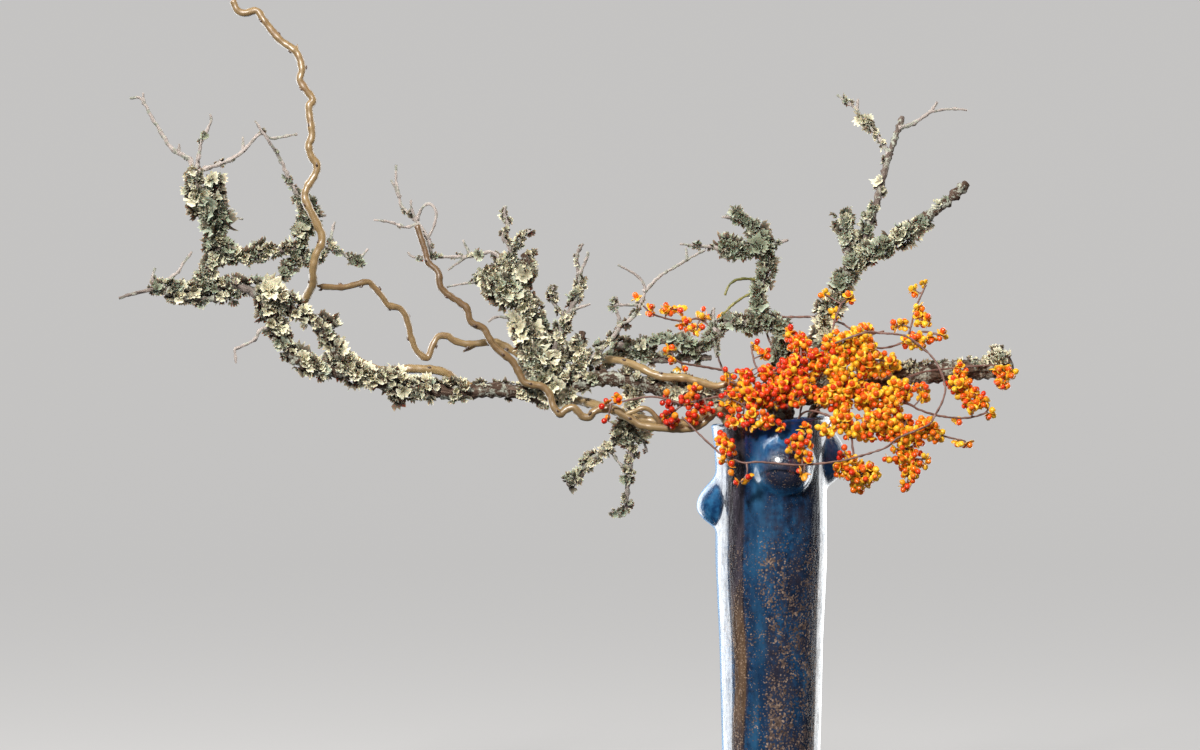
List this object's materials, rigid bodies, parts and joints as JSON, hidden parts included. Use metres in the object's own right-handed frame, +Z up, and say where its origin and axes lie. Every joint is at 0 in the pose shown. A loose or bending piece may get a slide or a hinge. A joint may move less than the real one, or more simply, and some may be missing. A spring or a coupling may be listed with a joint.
{
  "type": "ikebana arrangement",
  "caption": "Ikebana arrangement of long lichen-covered branches, contorted peeled willow and bittersweet berries, standing in water in a tall glazed ceramic vase with knobs on its neck.",
  "frame": {"origin": "centre of the vase's foot, on the surface it stands on", "axes": "+Z up along the vase, +X to the right and along the long branch, +Y towards the back, with the pictured side facing -Y"},
  "size_m": [0.8927, 0.1971, 0.8565],
  "materials": {
    "vase_glaze": "glossy mottled cobalt and bronze glaze",
    "lichen_bark": "dead bark under rough grey-green foliose lichen",
    "peeled_willow": "smooth peeled wood with a soft sheen",
    "bittersweet": "glossy red-orange berries in split yellow husks on thin brown stems",
    "water": "clear",
    "bar_wood": "sawn"
  },
  "bodies": {
    "root": {"vase": "vase_glaze", "lichen_branch_long": "lichen_bark", "lichen_branch_arch": "lichen_bark", "lichen_branch_fork": "lichen_bark", "willow_tall": "peeled_willow", "willow_middle": "peeled_willow", "willow_low": "peeled_willow", "vine_left": "bittersweet", "vine_front": "bittersweet", "vine_crown": "bittersweet", "vine_high_right": "bittersweet", "vine_middle_right": "bittersweet", "vine_low_right": "bittersweet", "vine_back_left": "bittersweet", "water": "water", "cross_bar": "bar_wood"}
  },
  "joints": []
}
